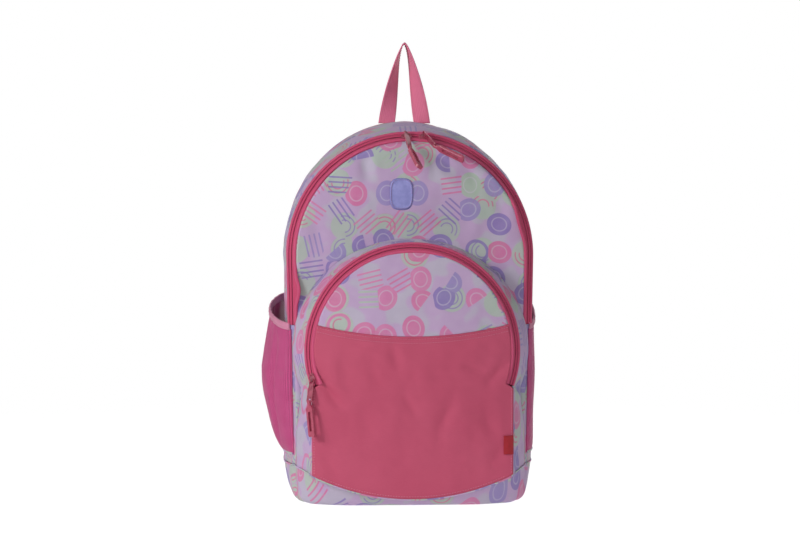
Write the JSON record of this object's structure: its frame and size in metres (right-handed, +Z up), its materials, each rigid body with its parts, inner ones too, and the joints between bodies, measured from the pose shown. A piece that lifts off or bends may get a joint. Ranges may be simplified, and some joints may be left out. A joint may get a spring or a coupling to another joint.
{
  "type": "school backpack",
  "caption": "Arched school backpack with a zipped main compartment, a zipped front pocket, mesh side pockets, a webbing handle and padded shoulder straps.",
  "frame": {"origin": "middle of the flat underside", "axes": "+Z up, the bag's front faces -Y, +X to the right as seen from the front"},
  "size_m": [0.328, 0.2546, 0.5422],
  "materials": {
    "printed_fabric": "woven polyester with a printed pastel pattern, lightly coated",
    "pink_fabric": "plain woven polyester",
    "mesh_fabric": "knitted mesh with small open cells",
    "elastic_binding": "ribbed elastic binding",
    "zip_tape": "woven zip tape with sewn-on edges",
    "zip_coil": "moulded nylon coil",
    "webbing": "ribbed polyester webbing",
    "painted_metal": "gloss enamel on die-cast metal",
    "soft_plastic": "satin moulded grip",
    "buckle_plastic": "satin moulded plastic",
    "foam": "closed-cell foam sheet",
    "lining": "smooth lining fabric",
    "patch": "soft moulded plain patch",
    "side_tab": "folded satin ribbon"
  },
  "bodies": {
    "bag": {"back_foam": "foam", "back_lining": "lining", "back_panel": "pink_fabric", "bottom_panel": "printed_fabric", "front_panel_lower": "printed_fabric", "mesh_binding_left": "elastic_binding", "mesh_binding_right": "elastic_binding", "pocket_coil_front": "zip_coil", "pocket_coil_rear": "zip_coil", "pocket_gusset": "printed_fabric", "pocket_panel_lower": "pink_fabric", "pocket_panel_upper": "printed_fabric", "pocket_tape_front": "zip_tape", "pocket_tape_rear": "zip_tape", "side_mesh_left": "mesh_fabric", "side_mesh_right": "mesh_fabric", "side_panel_left": "printed_fabric", "side_panel_right": "printed_fabric", "side_tab": "side_tab", "strap_foot_tab_left": "webbing", "strap_foot_tab_right": "webbing", "strap_top_tab_left": "webbing", "strap_top_tab_right": "webbing", "top_gusset": "printed_fabric", "zip_coil_front_left_leg": "zip_coil", "zip_coil_front_right_leg": "zip_coil", "zip_coil_rear": "zip_coil", "zip_tape_front_left_leg": "zip_tape", "zip_tape_front_right_leg": "zip_tape", "zip_tape_rear": "zip_tape"},
    "flap": {"front_panel_upper": "printed_fabric", "zip_tape_front_upper": "zip_tape", "zip_coil_front_upper": "zip_coil", "patch": "patch"},
    "slider_left": {"slider_left": "painted_metal"},
    "slider_right": {"slider_right": "painted_metal"},
    "slider_pocket": {"slider_pocket": "painted_metal"},
    "pull_left": {"puller_left": "painted_metal"},
    "pull_right": {"puller_right": "painted_metal"},
    "pull_pocket": {"puller_pocket": "painted_metal"},
    "tip_left": {"pull_tip_left": "soft_plastic"},
    "tip_right": {"pull_tip_right": "soft_plastic"},
    "tip_pocket": {"pull_tip_pocket": "soft_plastic"},
    "haul": {"haul_loop": "webbing"},
    "strap_left": {"strap_neck_left": "webbing", "strap_pad_left": "printed_fabric", "strap_loop_left": "webbing", "ladder_lock_left": "buckle_plastic", "strap_webbing_left": "webbing"},
    "strap_right": {"strap_neck_right": "webbing", "strap_pad_right": "printed_fabric", "strap_loop_right": "webbing", "ladder_lock_right": "buckle_plastic", "strap_webbing_right": "webbing"}
  },
  "joints": [
    {"name": "flap_open", "type": "hinge", "parent": "bag", "child": "flap", "pos_m": [0, -0.064, 0.325], "axis": [1, 0, 0], "range_deg": [0, 36]},
    {"name": "slider_left_run", "type": "hinge", "parent": "flap", "child": "slider_left", "pos_m": [0, -0.0582, 0.2895], "axis": [0, 1, 0], "range_deg": [-55, 1]},
    {"name": "slider_right_run", "type": "hinge", "parent": "flap", "child": "slider_right", "pos_m": [0, -0.0582, 0.2895], "axis": [0, 1, 0], "range_deg": [-1, 49]},
    {"name": "slider_pocket_run", "type": "hinge", "parent": "bag", "child": "slider_pocket", "pos_m": [0, -0.105, 0.182], "axis": [0, 1, 0], "range_deg": [0, 205]},
    {"name": "pull_left_swing", "type": "hinge", "parent": "slider_left", "child": "pull_left", "pos_m": [-0.00473, -0.06241, 0.43213], "axis": [-0.9995, 0, -0.0332], "range_deg": [0, 130]},
    {"name": "pull_right_swing", "type": "hinge", "parent": "slider_right", "child": "pull_right", "pos_m": [0.01591, -0.06241, 0.43132], "axis": [-0.9903, 0, 0.1392], "range_deg": [0, 130]},
    {"name": "pull_pocket_swing", "type": "hinge", "parent": "slider_pocket", "child": "pull_pocket", "pos_m": [-0.11632, -0.10786, 0.14645], "axis": [-0.6827, -0.7071, -0.1842], "range_deg": [-24, 60]},
    {"name": "tip_left_swing", "type": "hinge", "parent": "pull_left", "child": "tip_left", "pos_m": [-0.00205, -0.07915, 0.41572], "axis": [-0.7309, -0.5338, 0.4253], "range_deg": [-15, 15]},
    {"name": "tip_right_swing", "type": "hinge", "parent": "pull_right", "child": "tip_right", "pos_m": [0.02721, -0.07771, 0.41735], "axis": [-0.0058, -0.6766, 0.7363], "range_deg": [-15, 15]},
    {"name": "tip_pocket_swing", "type": "hinge", "parent": "pull_pocket", "child": "tip_pocket", "pos_m": [-0.1194, -0.11579, 0.12443], "axis": [0.7449, -0.6542, 0.1312], "range_deg": [-15, 5]},
    {"name": "haul_swing", "type": "hinge", "parent": "bag", "child": "haul", "pos_m": [0, 0.066, 0.447], "axis": [1, 0, 0], "range_deg": [-60, 75], "stiffness_Nm_per_rad": 0.02},
    {"name": "strap_left_swing", "type": "hinge", "parent": "bag", "child": "strap_left", "pos_m": [-0.046, 0.0754, 0.4085], "axis": [-0.1933, 0.005, -0.9811], "range_deg": [-10, 10], "stiffness_Nm_per_rad": 0.2},
    {"name": "strap_right_swing", "type": "hinge", "parent": "bag", "child": "strap_right", "pos_m": [0.046, 0.0754, 0.4085], "axis": [0.1933, 0.005, -0.9811], "range_deg": [-10, 10], "stiffness_Nm_per_rad": 0.2}
  ],
  "couplings": [
    {"joint": "slider_left_run", "follows": "flap_open", "ratio": -1.5},
    {"joint": "slider_right_run", "follows": "flap_open", "ratio": 1.3333}
  ]
}
